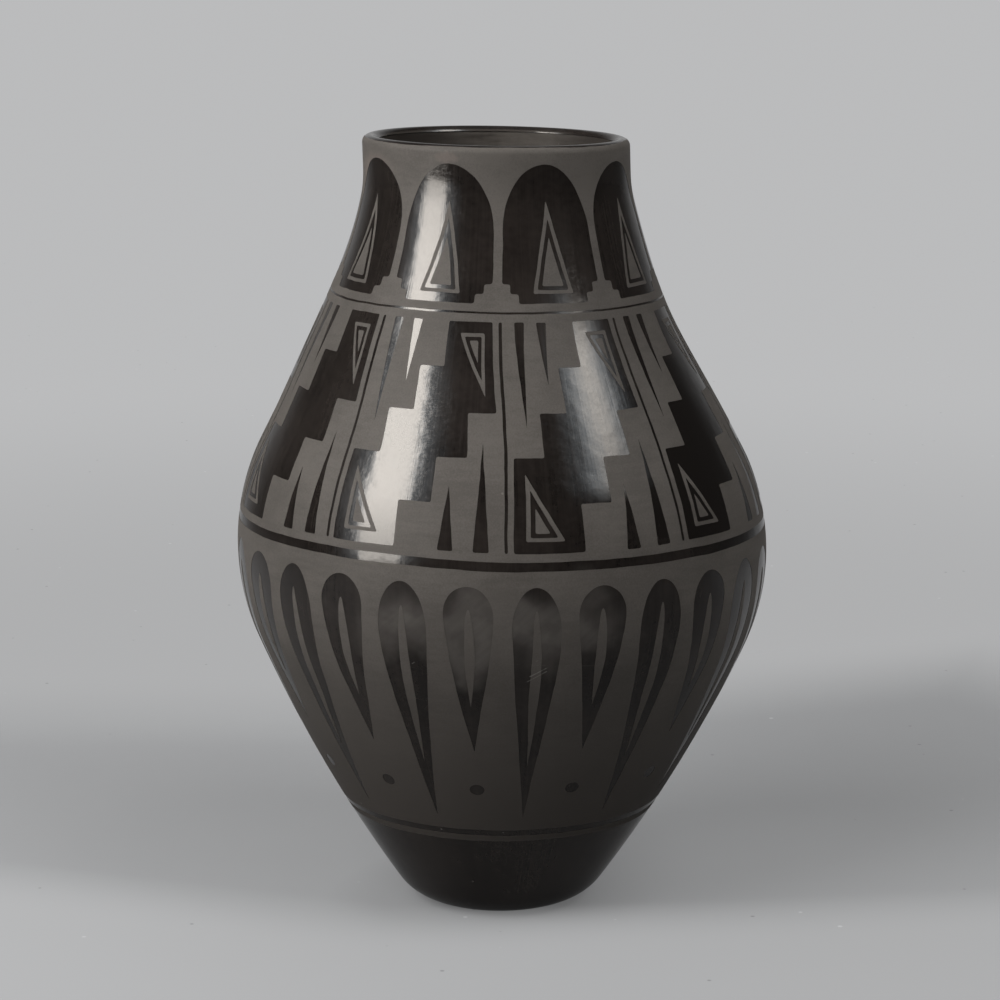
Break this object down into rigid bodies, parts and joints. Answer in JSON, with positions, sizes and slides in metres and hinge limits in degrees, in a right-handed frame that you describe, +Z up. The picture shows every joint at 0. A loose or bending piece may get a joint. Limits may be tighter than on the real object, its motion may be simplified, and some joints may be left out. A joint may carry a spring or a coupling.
{
  "type": "pottery jar",
  "caption": "Tall hand-built black pottery jar with a wide rounded belly, a tapering foot and a short straight neck with a round lip, for storage or display.",
  "frame": {"origin": "centre of the flat foot, on the surface that the jar stands on", "axes": "+Z up along the jar's axis, from the foot to the mouth; -Y is the side that the picture shows, and +X is to the right there"},
  "size_m": [0.2268, 0.2268, 0.33],
  "materials": {
    "clay": "smoked low-fired clay, scraped and left matte",
    "polished_slip": "black slip, stone-polished to a gloss",
    "matte_paint": "matte grey-black painted slip"
  },
  "bodies": {
    "root": {"base_slab": "clay", "lower_wall_ring_1": "clay", "lower_wall_ring_2": "clay", "lower_wall_ring_3": "clay", "lower_wall_ring_4": "clay", "belly_ring_1": "clay", "belly_ring_2": "clay", "shoulder_ring_1": "clay", "shoulder_ring_2": "clay", "shoulder_ring_3": "clay", "shoulder_ring_4": "clay", "neck_ring_1": "clay", "neck_ring_2": "clay", "lip_ring": "clay", "slip_coat": "polished_slip"}
  },
  "joints": []
}
